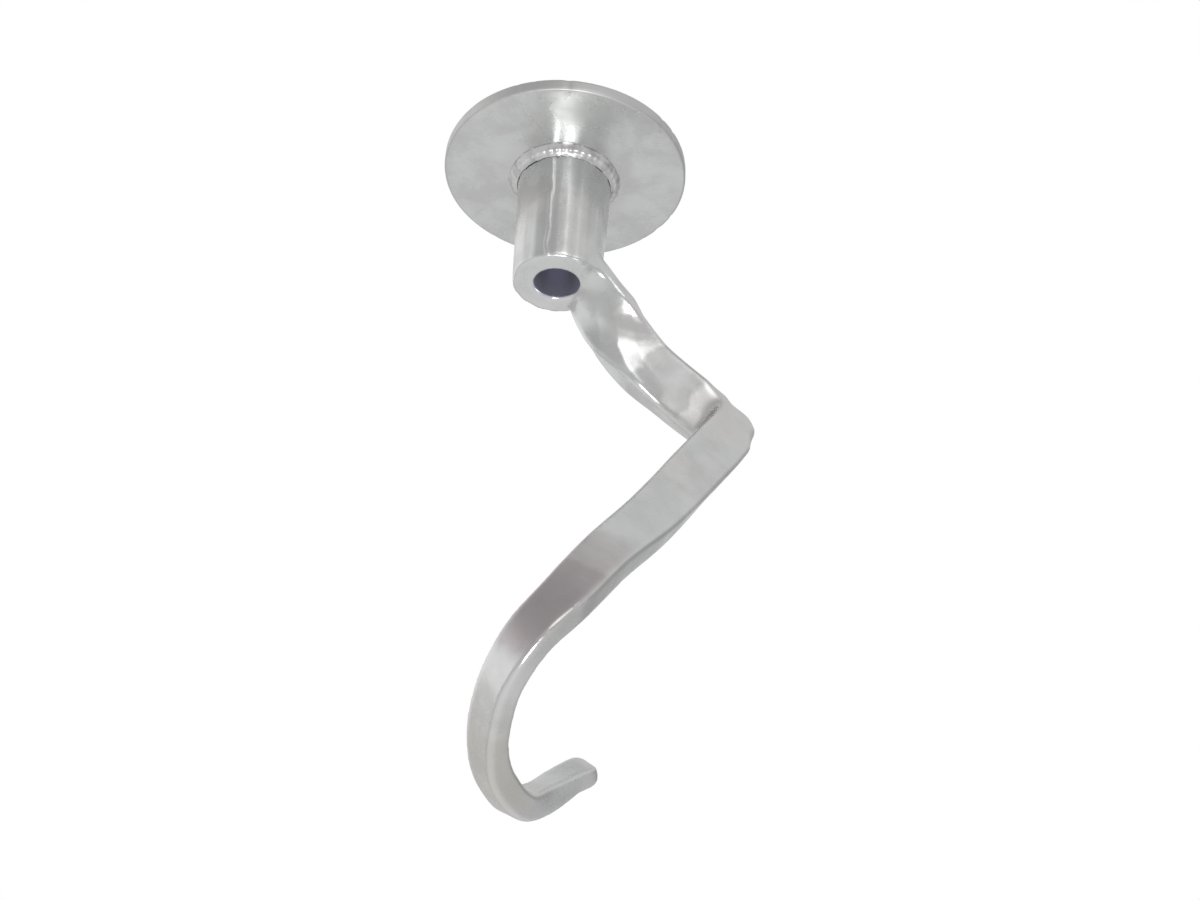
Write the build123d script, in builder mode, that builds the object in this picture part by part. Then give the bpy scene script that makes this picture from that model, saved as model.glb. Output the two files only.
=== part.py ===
from build123d import *
from math import cos, radians, sin
import os

# Spiral dough hook for a planetary mixer, in millimetres.
# The origin is the centre of the drive bore's upper mouth. +Z is the mixer's shaft line and
# points up, into the mixer. The hook hangs below, and its arm leaves the hub towards +X.

# hub, a casting that narrows a little towards its lower end
bore_radius = 9.525
seat_radius = 20.6
hub_end_radius = 18.7
neck_height = 25.0
disc_thickness = 6.0
hub_below_disc = 60.0
hub_end_rounding = 0.8
neck_top_chamfer = 1.5

# bayonet slot for the drive pin of the shaft, on the side behind the sweep
slot_width = 8.0
slot_depth = 17.0
slot_lock_angle = 28.0

# splash disc, whose underside falls a little towards the hub
disc_radius = 53.0
disc_fall = 2.5
rim_rounding = 1.0

# weld bead between the hub and the disc's underside
bead_leg = 5.0

# bar that the hook is shaped from
section_spacing = 7.0
corner_rounding = 1.6
end_dressing = 2.0

disc_top = -neck_height
disc_bottom = disc_top - disc_thickness
hub_bottom = disc_bottom - hub_below_disc


class Station:
    """One chosen cross-section of the bar."""

    def __init__(self, x, y, drop, azimuth, tilt, width, thickness):
        level = cos(radians(tilt))
        self.centre = Vector(x, y, hub_bottom - drop)
        self.face = Vector(level * cos(radians(azimuth)), level * sin(radians(azimuth)), sin(radians(tilt)))
        self.size = Vector(width, thickness, 0)


# The upper arm, from inside the hub down to the elbow. Each station gives x, y, how far its
# centre lies below the hub's end, the azimuth and tilt of the bar's wide working face, then
# the bar's width and thickness. The working face starts level with the hub's end face and
# rolls round to face outward.
upper_arm = [
    Station(2, 0, -8.2, -90, -89, 31, 14),
    Station(12, 2.2, -4.6, -112, -86, 28, 9.6),
    Station(19.5, 4.8, 5.6, -124, -54, 26.5, 9),
    Station(28.7, 8.6, 19, -97, -24, 25.5, 11.5),
    Station(39, 12, 30.2, -84, -12, 23.5, 13.5),
    Station(52, 15, 39.5, -89, -13, 23.2, 12),
    Station(68, 16.5, 52, -101, -11, 23.5, 12),
]

# The sweep and the curl, from the elbow to the tip. The spiral falls and closes in, then
# rises a little to the tip, and its outer face rolls over until it points down and back.
sweep = [
    Station(76, 16.2, 52, -61, 4, 18.5, 12),
    Station(71.5, 9.5, 66, -61, 14, 21, 12),
    Station(56, -11, 97, -61, 17, 20.6, 11.4),
    Station(39.3, -36.5, 132, -67, 22, 19, 11.3),
    Station(23, -54, 159, -79, 23, 17.4, 11),
    Station(10.5, -64, 180.5, -95, 17, 17, 9.5),
    Station(0, -64, 194, -120, -2, 16, 8.5),
    Station(-7, -55, 204, -143, -16, 15.5, 8),
    Station(-10, -43, 210, -161, -29, 15.5, 8),
    Station(-11, -25, 215, -172, -37, 15, 8.5),
    Station(-8, -8, 220, 180, -45, 14.5, 10),
    Station(0, 5, 224, 126, -61, 14, 10),
    Station(9, 13, 218, 67, -47, 13.5, 9.5),
    Station(17, 17, 210, 81, -39, 12.5, 8),
    Station(24, 20, 205, 85, -36, 11.2, 7),
]


# the elbow's knuckle
knuckle_centre = Vector(75, 15.8, hub_bottom - 55.5)
knuckle_face = Vector(cos(radians(-61)), sin(radians(-61)), 0.1)
knuckle_radius = 10.0
knuckle_thickness = 11.4


def chord_lengths(stations):
    """How far along the bar each station lies."""
    lengths = [0.0]
    for behind, ahead in zip(stations, stations[1:]):
        lengths.append(lengths[-1] + (ahead.centre - behind.centre).length)
    return lengths


def slope(values, lengths, i):
    """Rate of change of a value at station i, from the stations on either side."""
    behind = max(i - 1, 0)
    ahead = min(i + 1, len(values) - 1)
    return (values[ahead] - values[behind]) * (1 / (lengths[ahead] - lengths[behind]))


def smooth(values, lengths, along):
    """A value between the stations, on a smooth curve through all of theirs."""
    i = max(k for k in range(len(lengths) - 1) if lengths[k] <= along)
    span = lengths[i + 1] - lengths[i]
    s = (along - lengths[i]) / span
    start = values[i] * ((1 + 2 * s) * (1 - s) ** 2) + slope(values, lengths, i) * (span * s * (1 - s) ** 2)
    end = values[i + 1] * (s * s * (3 - 2 * s)) - slope(values, lengths, i + 1) * (span * s * s * (1 - s))
    return start + end


def bar_sections(stations):
    """Evenly spaced planes square to the bar, each with the bar's width and thickness there.

    Local X runs across the working face and local Y is the face's outward normal.
    """
    lengths = chord_lengths(stations)
    count = round(lengths[-1] / section_spacing)
    sections = []
    for i in range(count + 1):
        along = lengths[-1] * i / count
        centre = smooth([station.centre for station in stations], lengths, along)
        face = smooth([station.face for station in stations], lengths, along)
        size = smooth([station.size for station in stations], lengths, along)
        ahead = smooth([station.centre for station in stations], lengths, min(along + 0.5, lengths[-1]))
        behind = smooth([station.centre for station in stations], lengths, max(along - 0.5, 0))
        run = (ahead - behind).normalized()
        plane = Plane(origin=centre, x_dir=face.cross(run).normalized(), z_dir=run)
        sections.append((plane, size.X, size.Y))
    return sections


def dressed_ends(sections):
    """Adds a smaller section past each end of a bar, so that its ends are dressed round."""
    ends = []
    for (plane, width, thickness), step in ((sections[0], -end_dressing), (sections[-1], end_dressing)):
        ends.append((plane.offset(step), width - 1.6 * end_dressing, thickness - 1.2 * end_dressing))
    return [ends[0]] + sections + [ends[1]]


def underside(radius):
    """Height of the disc's underside at a distance from the shaft line."""
    return disc_bottom - disc_fall * (disc_radius - radius) / (disc_radius - seat_radius)


def hub_side(height):
    """Radius of the hub below the disc."""
    return seat_radius + (hub_end_radius - seat_radius) * (disc_bottom - height) / hub_below_disc


# The hub, a plain round seat for the disc above a long taper.
with BuildPart() as hub:
    with BuildSketch(Plane.XZ):
        with BuildLine():
            Polyline(
                (0, 0),
                (seat_radius, 0),
                (seat_radius, disc_bottom),
                (hub_end_radius, hub_bottom),
                (0, hub_bottom),
                close=True,
            )
        make_face()
    revolve(axis=Axis.Z)
    circles = hub.edges().filter_by(GeomType.CIRCLE).sort_by(Axis.Z)
    fillet(circles[0], hub_end_rounding)
    chamfer(circles[-1], neck_top_chamfer)

# The bayonet slot, as the path of a cutter that points at the shaft line: down from the
# top, then round by the lock angle.
slot_middle = slot_width / 2 - slot_depth
slot_reach = seat_radius + 2
with BuildPart() as slot_cut:
    with BuildSketch(Plane.XZ):
        with Locations((0, slot_middle / 2)):
            Rectangle(slot_width, -slot_middle)
    extrude(amount=-slot_reach)
    for turn in (0, slot_lock_angle):
        with BuildSketch(Plane.XZ.rotated((0, 0, turn))):
            with Locations((0, slot_middle)):
                Circle(slot_width / 2)
        extrude(amount=-slot_reach)
    with BuildSketch(Plane.YZ):
        with Locations((slot_reach / 2, slot_middle)):
            Rectangle(slot_reach, slot_width)
    revolve(axis=Axis.Z, revolution_arc=slot_lock_angle)

# The two lengths of the bar. They meet at the elbow, where the sweep crosses the arm's end
# and a round knuckle, as thick as the bar, takes the outer corner off.
with BuildPart() as arm_bar:
    for plane, width, thickness in bar_sections(upper_arm):
        with BuildSketch(plane):
            RectangleRounded(width, thickness, corner_rounding)
    loft()

with BuildPart() as sweep_bar:
    for plane, width, thickness in dressed_ends(bar_sections(sweep)):
        with BuildSketch(plane):
            RectangleRounded(width, thickness, corner_rounding)
    loft()

with BuildPart() as knuckle:
    with BuildSketch(Plane(origin=knuckle_centre, z_dir=knuckle_face)):
        Circle(knuckle_radius)
    extrude(amount=knuckle_thickness / 2, both=True)
    fillet(knuckle.edges().filter_by(GeomType.CIRCLE), corner_rounding)

# One casting: hub, arm, sweep and curl, with the bore machined right through the hub.
with BuildPart() as hook_casting:
    add(hub.part)
    add(arm_bar.part)
    add(sweep_bar.part)
    add(knuckle.part)
    with BuildSketch(Plane.XY):
        Circle(bore_radius)
    extrude(amount=1.2 * hub_bottom, mode=Mode.SUBTRACT)
    add(slot_cut.part, mode=Mode.SUBTRACT)
hook_casting.part.label = "hook_casting"

# The splash disc is a plate turned to fit over the hub's seat.
with BuildPart() as splash_disc:
    with BuildSketch(Plane.XZ):
        with BuildLine():
            Polyline(
                (seat_radius, disc_top),
                (disc_radius, disc_top),
                (disc_radius, disc_bottom),
                (seat_radius, underside(seat_radius)),
                close=True,
            )
        make_face()
    revolve(axis=Axis.Z)
    rims = splash_disc.edges().filter_by(GeomType.CIRCLE).group_by(SortBy.RADIUS)[-1]
    fillet(rims, rim_rounding)
splash_disc.part.label = "splash_disc"

# The weld bead fills the corner under the disc with a hollow curve.
with BuildPart() as weld_bead:
    corner_height = underside(seat_radius)
    bead_outer = seat_radius + bead_leg
    bead_low = corner_height - bead_leg
    with BuildSketch(Plane.XZ):
        with BuildLine():
            Line((hub_side(bead_low), bead_low), (hub_side(corner_height), corner_height))
            Line((hub_side(corner_height), corner_height), (seat_radius, corner_height))
            Line((seat_radius, corner_height), (bead_outer, underside(bead_outer)))
            ThreePointArc(
                (bead_outer, underside(bead_outer)),
                (seat_radius + 0.32 * bead_leg, corner_height - 0.38 * bead_leg),
                (hub_side(bead_low), bead_low),
            )
        make_face()
    revolve(axis=Axis.Z)
weld_bead.part.label = "weld_bead"

os.makedirs("parts", exist_ok=True)
for piece in (hook_casting, splash_disc, weld_bead):
    export_step(piece.part, f"parts/{piece.part.label}.step")
    print(piece.part.label, len(piece.part.solids()), round(piece.part.volume), piece.part.is_valid)
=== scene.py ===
# %% [markdown]
# # A spiral dough hook
#
# The object is the spiral hook of a large kitchen mixer: an aluminium casting with a bored hub,
# a long bar that is bent into a spiral, and a turned splash disc that is welded onto the hub.
# The dimensioned model comes from model.glb, so this lesson is about the things a dimensioned
# model leaves out: soft cast corners, hand-dressed faces, the weld, and bright worn metal.

from math import cos, pi, radians, sin, sqrt

import bmesh
import bpy
import numpy as np
from mathutils import Matrix, Vector, noise


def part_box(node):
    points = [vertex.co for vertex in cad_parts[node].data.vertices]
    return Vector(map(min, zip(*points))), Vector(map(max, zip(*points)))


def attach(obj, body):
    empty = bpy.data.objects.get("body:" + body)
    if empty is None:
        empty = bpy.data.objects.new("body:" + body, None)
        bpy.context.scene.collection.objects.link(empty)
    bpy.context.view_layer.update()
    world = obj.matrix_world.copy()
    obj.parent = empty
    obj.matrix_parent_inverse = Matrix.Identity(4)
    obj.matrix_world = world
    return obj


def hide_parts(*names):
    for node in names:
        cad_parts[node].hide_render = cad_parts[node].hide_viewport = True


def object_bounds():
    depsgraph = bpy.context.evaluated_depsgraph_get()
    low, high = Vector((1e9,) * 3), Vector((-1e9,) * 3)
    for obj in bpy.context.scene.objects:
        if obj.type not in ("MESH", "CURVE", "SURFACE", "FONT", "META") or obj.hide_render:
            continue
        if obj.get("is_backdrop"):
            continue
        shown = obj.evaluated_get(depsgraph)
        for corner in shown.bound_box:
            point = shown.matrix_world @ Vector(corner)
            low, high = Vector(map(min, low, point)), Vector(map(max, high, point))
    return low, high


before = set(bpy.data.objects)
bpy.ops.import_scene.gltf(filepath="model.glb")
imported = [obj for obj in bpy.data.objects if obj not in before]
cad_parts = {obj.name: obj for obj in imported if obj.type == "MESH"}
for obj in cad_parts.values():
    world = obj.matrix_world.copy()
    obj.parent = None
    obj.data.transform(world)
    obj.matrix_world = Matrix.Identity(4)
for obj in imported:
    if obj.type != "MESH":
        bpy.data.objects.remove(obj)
cad_low, cad_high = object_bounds()
mm = 0.001
print("nodes:", sorted(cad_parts))
print("size in mm:", [round(v / mm, 1) for v in cad_high - cad_low])

# %% [markdown]
# ## The camera
#
# The hook hangs as it does in use, with its disc at the top, and it is looked at from below.
# The camera is given by where it stands and by three angles. It could be aimed with a Track To
# constraint, but a constraint can't hold the slight roll, so the angles are turned into a
# rotation matrix here.

# %% Camera
camera_place = Vector((0.0, -0.5082, -0.5019))
camera_azimuth = radians(2.47)
camera_rise = radians(32.98)
camera_roll = radians(3.1)
forward = Vector(
    (
        sin(camera_azimuth) * cos(camera_rise),
        cos(camera_azimuth) * cos(camera_rise),
        sin(camera_rise),
    )
)
level_right = forward.cross(Vector((0, 0, 1))).normalized()
level_up = level_right.cross(forward)
right = level_right * cos(camera_roll) + level_up * sin(camera_roll)
up = level_up * cos(camera_roll) - level_right * sin(camera_roll)
camera_data = bpy.data.cameras.new("camera")
camera_data.sensor_width = 36
camera_data.lens = 46.5
camera_data.clip_start = 0.01
camera_data.clip_end = 100
camera = bpy.data.objects.new("camera", camera_data)
camera.matrix_world = Matrix.Translation(camera_place) @ Matrix((right, up, -forward)).transposed().to_4x4()
bpy.context.scene.collection.objects.link(camera)
bpy.context.scene.camera = camera
print("camera forward:", [round(v, 4) for v in forward], "right:", [round(v, 4) for v in right])

# %% [markdown]
# ## Helpers for shader nodes
#
# A metal finish is mostly arithmetic on noise. Written as nodes, one multiplication takes four
# lines, so a small class wraps a socket and lets Python's own signs add the Math nodes. Colours
# and vectors don't go through it: they are mixed by Mix nodes, which keep all three channels.


# %% Shader helpers
class Value:
    """A number that a socket gives, on which + - * and at_least add Math nodes."""

    def __init__(self, finish, socket):
        self.finish = finish
        self.socket = socket

    def maths(self, operation, first, second):
        return self.finish.value("ShaderNodeMath", {"operation": operation}, {0: first, 1: second})

    def __add__(self, other):
        return self.maths("ADD", self, other)

    __radd__ = __add__

    def __mul__(self, other):
        return self.maths("MULTIPLY", self, other)

    __rmul__ = __mul__

    def __sub__(self, other):
        return self.maths("SUBTRACT", self, other)

    def __rsub__(self, other):
        return self.maths("SUBTRACT", other, self)

    def at_least(self, other):
        return self.maths("MAXIMUM", self, other)


class Nodes:
    """A shader tree that is built up one node at a time."""

    def __init__(self, tree):
        self.tree = tree

    def node(self, kind, settings=None, sockets=None):
        made = self.tree.nodes.new(kind)
        for key, setting in (settings or {}).items():
            setattr(made, key, setting)
        for key, given in (sockets or {}).items():
            self.feed(made.inputs[key], given)
        return made

    def feed(self, socket, given):
        if isinstance(given, Value):
            given = given.socket
        if isinstance(given, bpy.types.NodeSocket):
            self.tree.links.new(given, socket)
        else:
            socket.default_value = given

    def value(self, kind, settings=None, sockets=None, output=0):
        return Value(self, self.node(kind, settings, sockets).outputs[output])

    def ramp(self, value, low, high):
        """0 below low, 1 above high, and smooth between."""
        settings = {"interpolation_type": "SMOOTHSTEP"}
        sockets = {"Value": value, "From Min": low, "From Max": high}
        return self.value("ShaderNodeMapRange", settings, sockets)


class Finish(Nodes):
    """A material of the principled kind and the patterns that feed it."""

    def __init__(self, name):
        self.material = bpy.data.materials.new(name)
        self.material.use_nodes = True
        super().__init__(self.material.node_tree)
        self.shader = self.tree.nodes["Principled BSDF"]

    def place(self, scale=(1, 1, 1), turn=(0, 0, 0)):
        """Object coordinates in metres, turned and stretched."""
        coordinates = self.node("ShaderNodeTexCoord").outputs["Object"]
        sockets = {"Vector": coordinates, "Scale": scale, "Rotation": turn}
        return self.node("ShaderNodeMapping", None, sockets).outputs[0]

    def grain(self, vector, scale, detail=3.0, roughness=0.5, distortion=0.0):
        sockets = {"Vector": vector, "Scale": scale, "Detail": detail}
        sockets |= {"Roughness": roughness, "Distortion": distortion}
        return self.value("ShaderNodeTexNoise", None, sockets)

    def attribute(self, name):
        return self.value("ShaderNodeAttribute", {"attribute_name": name}, None, "Fac")

    def mix(self, factor, first, second):
        """A colour between two colours."""
        sockets = {"Factor": factor, 6: first, 7: second}
        return self.node("ShaderNodeMix", {"data_type": "RGBA"}, sockets).outputs[2]

    def finish(self, colour, roughness, height, depth):
        """Joins the finished patterns to the shader of a bare metal."""
        bump = self.node("ShaderNodeBump", None, {"Height": height, "Distance": depth})
        self.feed(self.shader.inputs["Base Color"], colour)
        self.feed(self.shader.inputs["Roughness"], roughness)
        self.feed(self.shader.inputs["Normal"], bump.outputs[0])
        self.shader.inputs["Metallic"].default_value = 1.0
        return self.material


def grey(level, warmth=0.0, green=0.0):
    """A grey as red, green, blue and alpha. Warmth leans it to red, and away from blue."""
    return (level * (1 + warmth), level * (1 + green), level * (1 - warmth), 1.0)


print("shader helpers ready")

# %% [markdown]
# ## The casting's shape
#
# A dimensioned solid has faces that are too true. On the real bar every face was dressed by
# hand on a belt, so it swells and dips by a few tenths of a millimetre, and every corner is
# a little round. It could be sculpted, or subdivided, but a CAD mesh has long thin triangles
# that subdivide badly. A voxel remesh gives even small faces instead, and also melts the hub,
# arm and sweep into one skin, as a casting is. A few rounds of smoothing then take the voxel
# steps away.


# %% A remeshed copy of a CAD node
def merged_copy(node, name):
    """The node's mesh as a new object, with its loose triangles joined up."""
    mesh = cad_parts[node].data.copy()
    mesh.name = name
    work = bmesh.new()
    work.from_mesh(mesh)
    bmesh.ops.remove_doubles(work, verts=work.verts, dist=0.002 * mm)
    bmesh.ops.recalc_face_normals(work, faces=work.faces)
    work.to_mesh(mesh)
    work.free()
    made = bpy.data.objects.new(name, mesh)
    bpy.context.scene.collection.objects.link(made)
    return made


def plain_mesh(made):
    """Works out an object's modifiers once and keeps only the result."""
    graph = bpy.context.evaluated_depsgraph_get()
    result = bpy.data.meshes.new_from_object(made.evaluated_get(graph))
    made.modifiers.clear()
    old = made.data
    made.data = result
    bpy.data.meshes.remove(old)
    return made


def soften(made, rounds):
    """Adds rounds of averaging with the neighbours."""
    average = made.modifiers.new("soften", "SMOOTH")
    average.factor = 0.5
    average.iterations = rounds


def remesh(made, voxel, rounds, wrap_on=None):
    """Even small faces all over. They can be laid back on a CAD node before the last smoothing."""
    skin = made.modifiers.new("skin", "REMESH")
    skin.mode = "VOXEL"
    skin.voxel_size = voxel
    skin.adaptivity = 0
    if wrap_on is not None:
        soften(made, 4)
        wrap = made.modifiers.new("wrap", "SHRINKWRAP")
        wrap.target = wrap_on
        wrap.wrap_method = "NEAREST_SURFACEPOINT"
    soften(made, rounds)
    return plain_mesh(made)


casting_voxel = 0.78 * mm
casting = merged_copy("hook_casting", "cast_hook")
casting = remesh(casting, casting_voxel, 6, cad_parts["hook_casting"])
print("casting faces:", len(casting.data.polygons))

# %% [markdown]
# ## Hand-dressed faces
#
# The swells are made by moving each point a little along its normal, by two sizes of noise. The
# hub's side also has broad flats, left by the belt. The turned bore and the hub's seat for the
# disc are machined, so they stay true, which a mask that depends on the distance from the shaft
# line and on the height takes care of.

# %% Dress the faces
hub_low = -91 * mm
bore_radius = 9.525 * mm
hub_outer = 19.2 * mm
disc_low, disc_high = (corner.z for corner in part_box("splash_disc"))


def points(mesh):
    held = np.zeros(len(mesh.vertices) * 3)
    mesh.vertices.foreach_get("co", held)
    return held.reshape(-1, 3)


def move_points(mesh, place):
    mesh.vertices.foreach_set("co", place.ravel())
    mesh.update()


def shade_smooth(mesh):
    for polygon in mesh.polygons:
        polygon.use_smooth = True


def normals(mesh):
    held = np.zeros(len(mesh.vertices) * 3)
    mesh.vertex_normals.foreach_get("vector", held)
    return held.reshape(-1, 3)


def swell(place, size, seed):
    """Soft noise between -1 and 1 whose waves are about size long."""
    return noise.noise(Vector(place) / size + Vector((seed, 2.7 * seed, -1.3 * seed)))


def step(x, low, high):
    t = np.clip((x - low) / (high - low), 0, 1)
    return t * t * (3 - 2 * t)


place = points(casting.data)
facing = normals(casting.data)
from_shaft = np.hypot(place[:, 0], place[:, 1])
outside_bore = step(from_shaft, bore_radius + 0.5 * mm, bore_radius + 3 * mm)
below_weld = 1 - step(place[:, 2], disc_low - 6 * mm, disc_low)
dressed = outside_bore * below_weld
broad_swell = 0.10 * mm
fine_swell = 0.05 * mm
hub_flats = 0.55 * mm
broad = np.array([swell(p, 19 * mm, 3.1) for p in place])
fine = np.array([swell(p, 7 * mm, 8.4) for p in place])
angle = np.arctan2(place[:, 1], place[:, 0])
flats = np.array([swell((7 * a, z / (60 * mm), 0), 1.9, 4.4) for a, z in zip(angle, place[:, 2])])
on_hub_side = (np.abs(from_shaft - hub_outer) < 1.6 * mm) & (place[:, 2] > hub_low - 0.5 * mm)
rise = dressed * (broad_swell * broad + fine_swell * fine + hub_flats * flats * on_hub_side)
print("swell in mm:", round(rise.min() / mm, 2), round(rise.max() / mm, 2))

# %% [markdown]
# ## The parting line
#
# Where the two halves of the mould met, the hub keeps a thin wavy raised line that runs from
# the weld to the end face. It could be a separate strip, but it is the same metal, so it is
# raised out of the hub's own skin: points whose angle round the hub is near the line's are
# pushed out a little.

# %% Raise the parting line
line_angle = radians(-106)
line_height = 0.45 * mm
line_hollow = 0.30 * mm
wave = np.array([swell((0, 0, z), 11 * mm, 5.2) for z in place[:, 2]])
off_line = (angle - line_angle) * from_shaft - 1.3 * mm * wave
crest = np.exp(-((off_line / (0.75 * mm)) ** 2))
hollow = np.exp(-(((off_line + 4.2 * mm) / (3.4 * mm)) ** 2))
rise += on_hub_side * below_weld * (line_height * crest - line_hollow * hollow)
place += facing * rise[:, None]
move_points(casting.data, place)
shade_smooth(casting.data)
print("points on the parting line:", int((on_hub_side & (crest > 0.5)).sum()))

# %% [markdown]
# ## Melted corners
#
# Where the bar leaves the hub, and at the elbow, the casting has no crisp lines: the metal
# flows. A bevel can't follow such a corner, because no single edge runs through it. Averaging
# each point with its neighbours, over and over but only near the corner, wears the corner down
# as a belt would, and fades out with distance so that no seam shows.


# %% Wear the corners down
def melt(mesh, centre, reach, rounds):
    """Rounds off whatever lies near a centre. Points further away than reach stay."""
    here = points(mesh)
    gap = np.sqrt(((here - np.array(centre) * mm) ** 2).sum(1))
    share = 1 - step(gap, 0.45 * reach, reach)
    share *= step(np.hypot(here[:, 0], here[:, 1]), bore_radius + 0.8 * mm, bore_radius + 2.5 * mm)
    ends = np.zeros(len(mesh.edges) * 2, dtype=np.int32)
    mesh.edges.foreach_get("vertices", ends)
    ends = ends.reshape(-1, 2)
    ends = ends[(share[ends] > 0).any(1)]
    both = np.vstack((ends, ends[:, ::-1]))
    count = np.maximum(np.bincount(both[:, 0], minlength=len(here)), 1)
    for _ in range(rounds):
        for axis in range(3):
            total = np.bincount(both[:, 0], here[both[:, 1], axis], minlength=len(here))
            here[:, axis] += 0.5 * share * (total / count - here[:, axis])
    move_points(mesh, here)
    print("melted near", centre, "points:", int((share > 0).sum()))


elbow_corner = (83, 13, -147)
elbow_crease = (66, 14, -146)
arm_end = (73, 12, -137)
arm_root = (20, -3, -93)
arm_back = (22, -2, -83)
melt(casting.data, elbow_corner, 16 * mm, 30)
melt(casting.data, elbow_crease, 20 * mm, 14)
melt(casting.data, arm_end, 13 * mm, 45)
melt(casting.data, arm_root, 12 * mm, 25)
melt(casting.data, arm_back, 17 * mm, 60)

# %% [markdown]
# ## The ridge on the upper arm
#
# The flat of the hub's end face runs on down the arm and narrows to a point, and where it meets
# the arm's broad front face there is a curved ridge. It is raised here like a tent: full height
# on its line, nothing some millimetres away, and fading in and out at its ends.


# %% Raise the ridge
def along_and_side(places, line):
    """Distance along a line of runs and offset from it, for each place, and the line's length."""
    best = np.full(len(places), 1e9)
    along = np.zeros(len(places))
    offset = np.zeros((len(places), 3))
    travelled = 0.0
    for start, end in zip(line, line[1:]):
        run = end - start
        length = sqrt(run @ run)
        t = np.clip(((places - start) @ run) / length**2, 0, 1)
        away = places - (start + t[:, None] * run)
        gap = np.sqrt((away**2).sum(1))
        nearer = gap < best
        best = np.where(nearer, gap, best)
        along = np.where(nearer, travelled + t * length, along)
        offset = np.where(nearer[:, None], away, offset)
        travelled += length
    return along, offset, travelled


ridge_line = [(19, -5, -95), (22.7, -1.5, -100.3), (25.9, 2.2, -108.1), (26.9, 5.0, -117.4)]
ridge_line += [(31.0, 5.7, -125.6), (36.7, 7.3, -132.6), (45.5, 11.1, -140.0)]
ridge_line = np.array(ridge_line) * mm
ridge_height = 1.3 * mm
ridge_reach = 7.5 * mm
ridge_fade = 12 * mm
place = points(casting.data)
facing = normals(casting.data)
along, offset, ridge_length = along_and_side(place, ridge_line)
gap = np.sqrt((offset**2).sum(1))
front = step(-facing[:, 1] - 0.4 * facing[:, 2], 0.25, 0.6)
ends = step(along, 0, ridge_fade) * (1 - step(along, ridge_length - ridge_fade, ridge_length))
tent = np.clip(1 - gap / ridge_reach, 0, 1) * front * ends
place += facing * (ridge_height * tent)[:, None]
move_points(casting.data, place)
print("ridge length in mm:", round(ridge_length / mm, 1), "points:", int((tent > 0).sum()))

# %% [markdown]
# ## Worn edges, painted highlights and painted shade
#
# Edges are rubbed bright by dough, bowls and washing, and the lighter tint they get is also a painted
# highlight, while hollows are painted darker, as shade. How much each point stands proud of its neighbours
# is worked out once and stored on the mesh as a value that the material can read, so the wear, the painted
# highlight and the painted shade follow the real edges wherever they run.


# %% Store the edges and hollows
def neighbour_mean(mesh, values):
    """Each point's value averaged with those along its edges."""
    ends = np.zeros(len(mesh.edges) * 2, dtype=np.int32)
    mesh.edges.foreach_get("vertices", ends)
    ends = ends.reshape(-1, 2)
    total = np.zeros_like(values)
    count = np.zeros(len(values))
    for near, far in ((0, 1), (1, 0)):
        np.add.at(total, ends[:, near], values[ends[:, far]])
        np.add.at(count, ends[:, near], 1)
    count = np.maximum(count, 1)
    return total / (count[:, None] if values.ndim == 2 else count)


def store(mesh, name, values):
    mesh.attributes.new(name, "FLOAT", "POINT").data.foreach_set("value", values.astype(np.float32))


def store_edges_and_hollows(made, voxel):
    mesh = made.data
    here = points(mesh)
    outward = normals(mesh)
    spread = here
    for _ in range(3):
        spread = neighbour_mean(mesh, spread)
    proud = ((here - spread) * outward).sum(1) / voxel
    for _ in range(2):
        proud = neighbour_mean(mesh, proud)
    store(mesh, "edge", np.clip(proud / 0.45, 0, 1))
    store(mesh, "hollow", np.clip(-proud / 0.35, 0, 1))
    return proud


proud = store_edges_and_hollows(casting, casting_voxel)
print("proud:", round(float(proud.min()), 2), round(float(proud.max()), 2))

# %% [markdown]
# ## Along the bar
#
# The bar is hand-polished, and painted dark reflections lie on it in soft bands of tone from place to place
# along it. A pattern on plain coordinates would cut a twisted bar askew, so each point also stores how far
# along the bar's middle line it lies, whether it is on the hub or in the bore, and how much it faces the
# front, towards the viewer's side.
# The middle line here is a handful of points from the drive end to the tip, on the same path as
# the casting.

# %% Store the distance along the bar
middle_line = np.array(
    [
        (3, 1, -84),
        (20, 6, -97),
        (39, 12, -121),
        (72, 16, -144),
        (71, 10, -156),
        (39, -37, -224),
        (10, -64, -271),
        (-8, -48, -299),
        (-9, -15, -310),
        (9, 13, -309),
        (26, 21, -295),
    ]
) * mm


along, offset, bar_length = along_and_side(place, middle_line)
for _ in range(6):
    along = neighbour_mean(casting.data, along)
store(casting.data, "along", along)
is_hub = (from_shaft < 22 * mm) & (place[:, 2] > hub_low - 0.4 * mm)
hub_share = is_hub.astype(float)
for _ in range(4):
    hub_share = neighbour_mean(casting.data, hub_share)
store(casting.data, "hub", hub_share)
in_hub = place[:, 2] > hub_low + 0.3 * mm
store(casting.data, "bore", (in_hub & (from_shaft < bore_radius + 0.4 * mm)).astype(float))
facing = normals(casting.data)
# How much each point faces the front, towards the viewer's side. The painted dark reflections along the bar
# are laid only on faces that look this way.
outward = -0.8 * facing[:, 1] + 0.3 * facing[:, 2] - 0.3 * facing[:, 0]
store(casting.data, "front_facing", step(outward, 0.40, 0.70))
print("bar length in mm:", round(bar_length / mm, 1))

# %% [markdown]
# ## Cast and burnished aluminium
#
# The metal is bare, so the shader is fully metallic, and a little less so only in the bore,
# which nothing rubs bright. The bore's bluish tint is a painted reflection. All the rest is in the tint,
# the gloss and the fine relief. Four
# things are layered: cloudy patches where the polish took unevenly, bands of painted dark reflection along
# the bar, fine marks along the hub, and the wear stored above, whose lighter edges are partly a painted
# highlight and whose darker hollows are painted shade.

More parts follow.
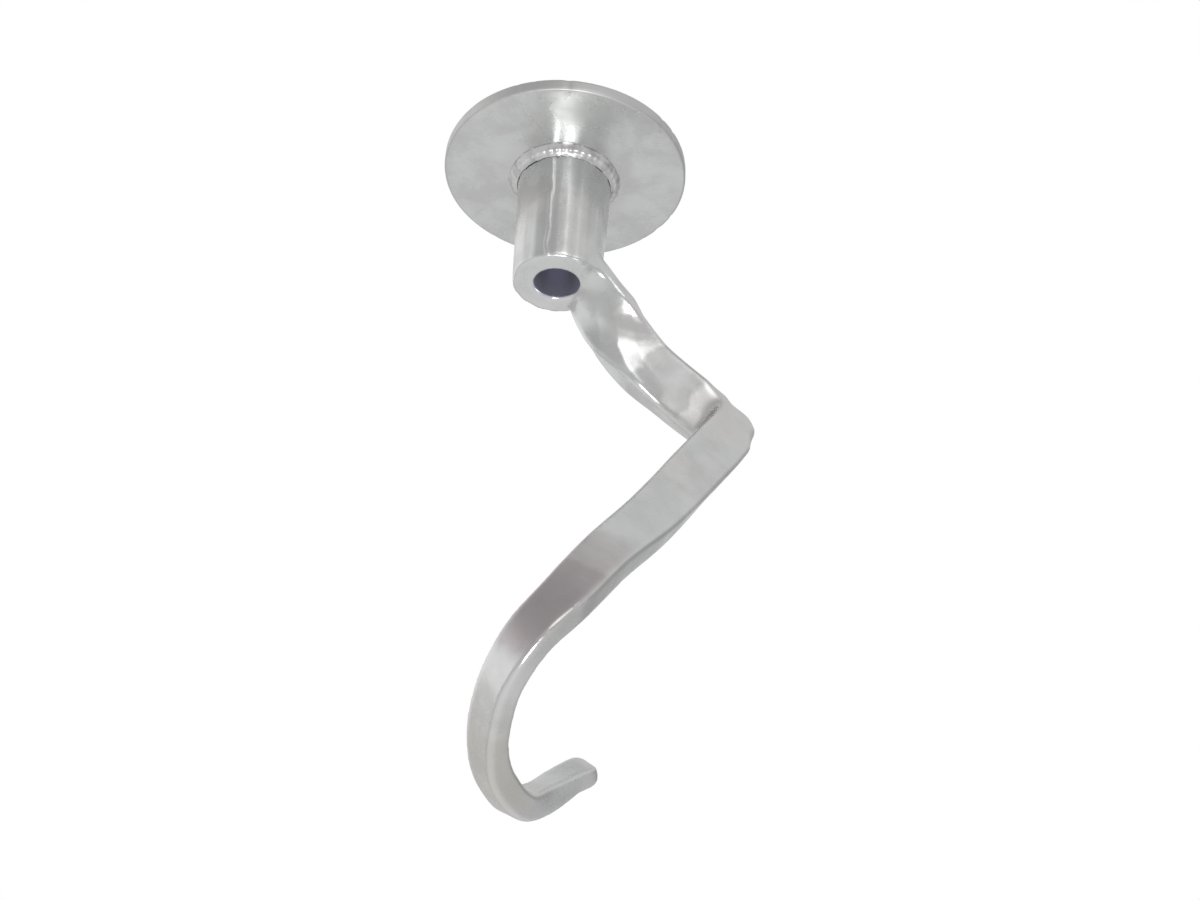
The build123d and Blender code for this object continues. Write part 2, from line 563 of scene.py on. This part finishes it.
# %% Cast aluminium
cast = Finish("cast aluminium")
clouds = cast.grain(cast.place(), 60, 5, 0.55, 0.2)
patches = cast.grain(cast.place(), 150, 5, 0.6, 0.2)
drawn = cast.grain(cast.place((420, 420, 14)), 1.0, 4, 0.6)
pitting = cast.grain(cast.place(), 900, 3, 0.6)
edge = cast.attribute("edge")
hollow = cast.attribute("hollow")
on_hub = cast.attribute("hub")
front_facing = cast.attribute("front_facing")
in_bore = cast.attribute("bore")
along_bar = cast.attribute("along") + 0.022 * (clouds - 0.5)


def tone_band(start, end, soft):
    """1 on a stretch of the bar between two distances from its drive end, in millimetres."""
    rising = cast.ramp(along_bar, start * mm, (start + soft) * mm)
    return rising * (1 - cast.ramp(along_bar, (end - soft) * mm, end * mm))


heat_warm = (0.80, 0.745, 0.755, 1)
heat_cool = (0.76, 0.785, 0.80, 1)
# The next three colours are painted dark reflections of dark surroundings mirrored in the bar: mauve on the
# sweep, a deeper mauve at its core, and olive on the curl.
painted_reflection_mauve = (0.60, 0.54, 0.55, 1)
painted_reflection_deep_mauve = (0.46, 0.405, 0.415, 1)
painted_reflection_olive = (0.66, 0.65, 0.59, 1)
painted_reflection_bore_blue = (0.74, 0.74, 0.84, 1)
off_hub = 1 - on_hub
# Where each painted dark reflection lies along the bar. The arm, sweep and core ones are laid only on faces
# that look to the front.
arm_painted_reflection_band = tone_band(52, 82, 4) * front_facing * off_hub
sweep_painted_reflection_band = tone_band(218, 286, 16) * front_facing
core_painted_reflection_band = tone_band(243, 282, 5) * front_facing
curl_painted_reflection_band = tone_band(298, 352, 14) * off_hub
dull = cast.ramp(clouds, 0.35, 0.68)
tint = cast.mix(dull, grey(0.80, 0.002, 0.008), grey(0.70, 0.006, 0.004))
tint = cast.mix(cast.ramp(patches, 0.55, 0.75) * 0.4, tint, grey(0.68, -0.012, 0.004))
heat = cast.grain(cast.place(), 26, 2, 0.5)
tint = cast.mix(cast.ramp(heat, 0.50, 0.66) * 0.6, tint, heat_warm)
tint = cast.mix(cast.ramp(heat, 0.50, 0.36) * 0.4, tint, heat_cool)
# Painted dark reflections: grey on the arm, mauve on the sweep and its core, olive on the curl.
tint = cast.mix(arm_painted_reflection_band * (0.45 + 0.6 * patches), tint, grey(0.48, 0.004))
tint = cast.mix(sweep_painted_reflection_band * 0.60, tint, painted_reflection_mauve)
tint = cast.mix(core_painted_reflection_band * (0.25 + 0.4 * patches), tint, painted_reflection_deep_mauve)
tint = cast.mix(curl_painted_reflection_band * 0.6, tint, painted_reflection_olive)
# Edges lighter: rubbed bright by wear, and partly a painted highlight.
tint = cast.mix(edge * 0.5, tint, grey(0.90))
# Hollows darker: painted shade.
tint = cast.mix(hollow * 0.25, tint, grey(0.5, 0.01))
# The bore's bluish tint is a painted reflection.
tint = cast.mix(in_bore, tint, painted_reflection_bore_blue)
rough = 0.19 + 0.09 * dull + 0.06 * patches - 0.04 * edge + 0.08 * arm_painted_reflection_band - 0.06 * in_bore
relief = 0.45 * patches + 0.2 * pitting + 0.6 * drawn * on_hub
cast.finish(tint, rough.at_least(0.12), relief, 0.09 * mm)
cast.feed(cast.shader.inputs["Metallic"], 1 - 0.2 * in_bore)
casting.data.materials.clear()
casting.data.materials.append(cast.material)
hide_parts("hook_casting")
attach(casting, "root")
print("cast nodes:", len(cast.tree.nodes))

# %% [markdown]
# ## The weld
#
# The disc is welded to the hub with a bead in the corner under it. A welder lays it as a row of
# overlapping puddles, each a little different, so it repeats along a path: a job for Geometry
# Nodes. The tree spreads points round a circle, puts a squashed ball on each, and varies its
# size with a fixed seed.

# %% The weld's puddles


class Shape:
    """A Geometry Nodes tree, its named inputs, and the object that it makes."""

    def __init__(self, name):
        self.tree = bpy.data.node_groups.new(name, "GeometryNodeTree")
        self.tree.interface.new_socket("Geometry", in_out="OUTPUT", socket_type="NodeSocketGeometry")
        self.output = self.tree.nodes.new("NodeGroupOutput")
        self.inputs = self.tree.nodes.new("NodeGroupInput")
        self.given = {}

    def size(self, name, default, kind="NodeSocketFloat"):
        """Adds a named input and gives its socket inside the tree."""
        socket = self.tree.interface.new_socket(name, in_out="INPUT", socket_type=kind)
        self.given[socket.identifier] = default
        return self.inputs.outputs[name]

    def node(self, kind, settings=None, sockets=None):
        made = self.tree.nodes.new(kind)
        for key, setting in (settings or {}).items():
            setattr(made, key, setting)
        for key, given in (sockets or {}).items():
            if isinstance(given, bpy.types.NodeSocket):
                self.tree.links.new(given, made.inputs[key])
            else:
                made.inputs[key].default_value = given
        return made

    def make(self, geometry, name, material):
        real = self.node("GeometryNodeRealizeInstances", None, {0: geometry})
        sockets = {"Geometry": real.outputs[0], "Material": material}
        coated = self.node("GeometryNodeSetMaterial", None, sockets)
        self.tree.links.new(coated.outputs[0], self.output.inputs[0])
        made = bpy.data.objects.new(name, bpy.data.meshes.new(name))
        bpy.context.scene.collection.objects.link(made)
        modifier = made.modifiers.new("shape", "NODES")
        modifier.node_group = self.tree
        for identifier, default in self.given.items():
            modifier[identifier] = default
        return plain_mesh(made)


weld_metal = Finish("weld aluminium")
puddles = Shape("weld puddles")
ring_radius = puddles.size("Ring radius", 22.3 * mm)
ring_height = puddles.size("Ring height", disc_low - 1.3 * mm)
puddle_radius = puddles.size("Puddle radius", 1.6 * mm)
puddle_count = puddles.size("Puddles", 46, "NodeSocketInt")
sockets = {"Resolution": 180, "Radius": ring_radius}
ring = puddles.node("GeometryNodeCurvePrimitiveCircle", {"mode": "RADIUS"}, sockets)
lift = puddles.node("ShaderNodeCombineXYZ", None, {"Z": ring_height})
sockets = {"Geometry": ring.outputs[0], "Translation": lift.outputs[0]}
lifted = puddles.node("GeometryNodeTransform", None, sockets)
beads = puddles.node(
    "GeometryNodeCurveToPoints", {"mode": "COUNT"}, {"Curve": lifted.outputs[0], "Count": puddle_count}
)
ball = puddles.node("GeometryNodeMeshIcoSphere", None, {"Radius": puddle_radius, "Subdivisions": 3})
sizes = puddles.node(
    "FunctionNodeRandomValue",
    {"data_type": "FLOAT_VECTOR"},
    {0: (0.62, 0.86, 0.86), 1: (0.80, 1.16, 1.16), "Seed": 11},
)
laid = puddles.node(
    "GeometryNodeInstanceOnPoints",
    None,
    {
        "Points": beads.outputs["Points"],
        "Instance": ball.outputs[0],
        "Rotation": beads.outputs["Rotation"],
        "Scale": sizes.outputs[0],
    },
)
ripples = puddles.make(laid.outputs[0], "weld_ripples", weld_metal.material)
print("puddle faces:", len(ripples.data.polygons))

# %% [markdown]
# The puddles melted into each other and into the corner, so they are joined to the fillet that
# the dimensioned model has there, and the two are remeshed into one lumpy skin. The thin outer
# edge is sunk into the disc, as a weld's is, so that no ragged edge shows.

# %% Melt the weld together


def join(first, second):
    """Adds the second object's faces to the first's and removes the second."""
    work = bmesh.new()
    work.from_mesh(first.data)
    work.from_mesh(second.data)
    work.to_mesh(first.data)
    work.free()
    bpy.data.objects.remove(second)
    return first


weld_voxel = 0.42 * mm
lump_height = 0.30 * mm
skirt_depth = 0.5 * mm
weld = join(merged_copy("weld_bead", "welded_corner"), ripples)
weld = remesh(weld, weld_voxel, 24)
place = points(weld.data)
facing = normals(weld.data)
lumps = np.array([swell(p, 9 * mm, 1.7) for p in place])
ring_out = np.hypot(place[:, 0], place[:, 1])
free_side = step(ring_out, 20.6 * mm, 22.5 * mm)
place += facing * (lump_height * lumps * free_side)[:, None]
sunk_skirt = step(ring_out, 23.4 * mm, 25.2 * mm)
place[:, 2] += skirt_depth * sunk_skirt
move_points(weld.data, place)
shade_smooth(weld.data)
store_edges_and_hollows(weld, weld_voxel)
print("weld faces:", len(weld.data.polygons))

# %% [markdown]
# The bead could share the casting's material, but it was never dressed on the belt. It has its
# own: bright where it was brushed, darker in its hollows as painted shade, and grey and rough in sooty
# patches.

# %% Weld metal
soot = weld_metal.grain(weld_metal.place(), 160, 4, 0.6)
skin = weld_metal.grain(weld_metal.place(), 600, 3, 0.6)
tint = weld_metal.mix(weld_metal.ramp(soot, 0.45, 0.7), grey(0.82), grey(0.55, 0.01))
# Darker in the hollows: painted shade.
tint = weld_metal.mix(weld_metal.attribute("hollow") * 0.3, tint, grey(0.45, 0.01))
weld_metal.finish(tint, 0.22 + 0.2 * soot, 0.6 * soot + 0.3 * skin, 0.12 * mm)
weld.data.materials.clear()
weld.data.materials.append(weld_metal.material)
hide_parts("weld_bead")
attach(weld, "root")

# %% [markdown]
# ## The splash disc
#
# The disc keeps flour and dough out of the planetary head. It is a turned plate, so a lathe's
# way of making it fits: one profile, spun round the shaft line. The CAD node could be kept, but
# its rim is too true: on the real one the rim is nicked and hammered a little, so a finer copy
# is spun here and its edge is moved about by noise.

# %% Spin the disc
disc_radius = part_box("splash_disc")[1].x
seat_radius = 20.6 * mm
disc_fall = 2.5 * mm
disc_under = disc_low + disc_fall


def arc(centre, radius, first, last, count):
    """Points of a rounded corner, in the plane of the profile."""
    turns = [radians(first + (last - first) * i / count) for i in range(count + 1)]
    return [(centre[0] + radius * cos(t), centre[1] + radius * sin(t)) for t in turns]


rim_round = 1.2 * mm
top_edge = arc((disc_radius - rim_round, disc_high - rim_round), rim_round, 90, 0, 5)
low_edge = arc((disc_radius - rim_round, disc_under + rim_round), rim_round, 0, -90, 5)


def between(start, end, count):
    """Points on a straight run of the profile, without its two ends."""
    shares = [i / count for i in range(1, count)]
    return [(start[0] + (end[0] - start[0]) * t, start[1] + (end[1] - start[1]) * t) for t in shares]


seat_high = (seat_radius, disc_high)
seat_low = (seat_radius, disc_low)
profile = [seat_high] + between(seat_high, top_edge[0], 16) + top_edge
profile += between(top_edge[-1], low_edge[0], 5) + low_edge
profile += between(low_edge[-1], seat_low, 16) + [seat_low] + between(seat_low, seat_high, 4)


def spin(profile, name, turns):
    """A closed ring: the profile repeated round the shaft line."""
    work = bmesh.new()
    rings = []
    for i in range(turns):
        turn = 2 * pi * i / turns
        rings.append([work.verts.new((r * cos(turn), r * sin(turn), z)) for r, z in profile])
    for ring, following in zip(rings, rings[1:] + rings[:1]):
        for k in range(len(profile)):
            ahead = (k + 1) % len(profile)
            work.faces.new((ring[k], ring[ahead], following[ahead], following[k]))
    bmesh.ops.recalc_face_normals(work, faces=work.faces)
    mesh = bpy.data.meshes.new(name)
    work.to_mesh(mesh)
    work.free()
    shade_smooth(mesh)
    made = bpy.data.objects.new(name, mesh)
    bpy.context.scene.collection.objects.link(made)
    return made


nick_depth = 0.55 * mm
waver_height = 0.16 * mm
disc = spin(profile, "turned_disc", 420)
place = points(disc.data)
facing = normals(disc.data)
out = np.hypot(place[:, 0], place[:, 1])
turn = np.arctan2(place[:, 1], place[:, 0])
at_rim = step(out, disc_radius - 3.0 * mm, disc_radius - 0.6 * mm)
nicks = np.array([min(0.0, swell((40 * cos(t), 40 * sin(t), 0), 2.3, 6.6) + 0.35) for t in turn])
waver = np.array([swell(p, 26 * mm, 9.2) for p in place])
rise = at_rim * (nick_depth * nicks) + waver_height * waver
place += facing * rise[:, None]
move_points(disc.data, place)
print("disc heights in mm:", round(disc_high / mm, 1), round(disc_under / mm, 1), round(disc_low / mm, 1))

# %% [markdown]
# The lathe leaves fine circles on the disc, which draw a light out into a streak that runs from
# the hub towards the rim. Circles need a pattern that depends only on the distance from the
# shaft line, so the Object coordinates are flattened and measured with a Vector Math node. The
# soft clouds over them come from handling. The disc is darker near the weld, and its rim is painted darker,
# as shade along its edge.

# %% Turned aluminium
turned = Finish("turned aluminium")
flat = turned.node("ShaderNodeVectorMath", {"operation": "MULTIPLY"}, {0: turned.place(), 1: (1, 1, 0)})
distance = turned.value("ShaderNodeVectorMath", {"operation": "LENGTH"}, {0: flat.outputs[0]}, 1)
sockets = {"W": distance, "Scale": 1900, "Detail": 3}
rings = turned.value("ShaderNodeTexNoise", {"noise_dimensions": "1D"}, sockets)
clouds = turned.grain(turned.place(), 55, 6, 0.62, 0.15)
speckle = turned.grain(turned.place(), 420, 3, 0.6)
band = turned.ramp(distance, disc_radius - 1.4 * mm, disc_radius - 0.2 * mm)
near_weld = 1 - turned.ramp(distance, 25 * mm, 33 * mm)
dull = turned.ramp(clouds, 0.36, 0.68)
tint = turned.mix(dull, grey(0.76, -0.004, 0.016), grey(0.66, 0.0, 0.012))
tint = turned.mix(turned.ramp(speckle, 0.66, 0.76) * 0.5, tint, grey(0.9))
tint = turned.mix(near_weld * 0.35, tint, grey(0.6, 0.01))
# The rim is painted darker, as shade along its edge.
tint = turned.mix(band * 0.6, tint, grey(0.62, 0.01, -0.01))
rough = 0.20 + 0.10 * dull + 0.18 * band + 0.05 * speckle
turned.finish(tint, rough, 0.5 * rings + 0.35 * speckle + 0.25 * clouds, 0.06 * mm)
disc.data.materials.append(turned.material)
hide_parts("splash_disc")
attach(disc, "root")
print("disc faces:", len(disc.data.polygons))

# %% [markdown]
# ## Floor, light and surroundings
#
# Bare metal shows only what is around it, so the surroundings are the larger half of a metal
# finish. The floor is a pale plane well below the hook. The sky is white behind the hook, and
# the light it gives off is uneven, as between white studio walls with a dark side: brighter from
# the left, dimmer from the right and from high on the viewer's side, and with one small bright
# patch behind the viewer.

# %% Floor
floor_height = cad_low.z - 0.62
floor_mesh = bpy.data.meshes.new("floor")
reach = 30.0
corners = [(-reach, -reach), (reach, -reach), (reach, reach), (-reach, reach)]
floor_mesh.from_pydata([(x, y, floor_height) for x, y in corners], [], [(0, 1, 2, 3)])
floor = bpy.data.objects.new("floor", floor_mesh)
bpy.context.scene.collection.objects.link(floor)
paper = Finish("pale paper")
paper.shader.inputs["Base Color"].default_value = (0.82, 0.82, 0.82, 1)
paper.shader.inputs["Roughness"].default_value = 0.9
floor.data.materials.append(paper.material)
floor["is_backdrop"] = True

# %% [markdown]
# The sky is a small shader and not a picture, so each direction of it can be aimed. Every patch
# brightens or dims one direction. The Light Path node tells the camera's own rays from the
# rest, so the background is plain white while the metal reflects the uneven walls.

# %% Sky
world = bpy.data.worlds.new("studio")
world.use_nodes = True
bpy.context.scene.world = world
world.node_tree.nodes.clear()
sky = Nodes(world.node_tree)
looking = sky.node("ShaderNodeTexCoord").outputs["Generated"]


def towards(azimuth, rise):
    """A direction from its azimuth, clockwise from +Y, and its height above level, in degrees."""
    flat = cos(radians(rise))
    return Vector((flat * sin(radians(azimuth)), flat * cos(radians(azimuth)), sin(radians(rise))))


def patch(azimuth, rise, width):
    """1 in one direction of the sky, and down to 0 at width degrees from it."""
    sockets = {0: looking, 1: towards(azimuth, rise)}
    near = sky.value("ShaderNodeVectorMath", {"operation": "DOT_PRODUCT"}, sockets, 1)
    return sky.ramp(near, cos(radians(width)), 1.0)


wall_level = 0.63
walls = wall_level + 0.25 * patch(-70, 20, 60)
walls = walls - 0.20 * patch(-140, 45, 55) - 0.28 * patch(62, -2, 55)
walls = walls + 1.2 * patch(170, 20, 20)
seen = sky.node("ShaderNodeLightPath").outputs["Is Camera Ray"]
strength = sky.node("ShaderNodeMix", {"data_type": "FLOAT"}, {"Factor": seen, "A": walls.socket, "B": 1.0})
glow = sky.node("ShaderNodeBackground", None, {"Color": (1, 1, 1, 1), "Strength": strength.outputs[0]})
sky.node("ShaderNodeOutputWorld", None, {0: glow.outputs[0]})
print("sky nodes:", len(world.node_tree.nodes))

# %% [markdown]
# Two lamps do what a sky can't. One washes the floor below and behind the hook. The other
# stands in front and below, and its light reaches the disc by way of the hub, which draws the
# bright streak where the two meet.


# %% Lamps
def softbox(name, place, target, size, power):
    """A square lamp that faces a target."""
    data = bpy.data.lights.new(name, "AREA")
    data.shape = "RECTANGLE"
    data.size, data.size_y = size
    data.energy = power
    lamp = bpy.data.objects.new(name, data)
    lamp.location = place
    lamp.rotation_euler = (Vector(target) - Vector(place)).to_track_quat("-Z", "Y").to_euler()
    bpy.context.scene.collection.objects.link(lamp)
    return lamp


softbox("floor wash", (-0.45, 0.7, floor_height + 0.5), (-0.45, 0.7, floor_height), (2.6, 2.6), 5.0)
streak_place = Vector((0, 0, disc_low)) + 0.9 * towards(178, -51)
softbox("disc streak", streak_place, (0, 0, disc_low), (0.20, 0.26), 1.5)
bpy.context.scene.view_settings.view_transform = "Standard"
print("floor at", round(floor_height, 3))

# %% [markdown]
# Last, the size of the dimensioned model and the size of what is seen are put side by side,
# and how far the seen size has grown past the model's is printed, so that one can be held against the
# other.

# %% Finish
seen_low, seen_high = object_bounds()
sizes = {"cad": [list(cad_low), list(cad_high)], "visual": [list(seen_low), list(seen_high)]}
print("grown by mm:", [round((a - b) / mm, 2) for a, b in zip(seen_high, cad_high)])
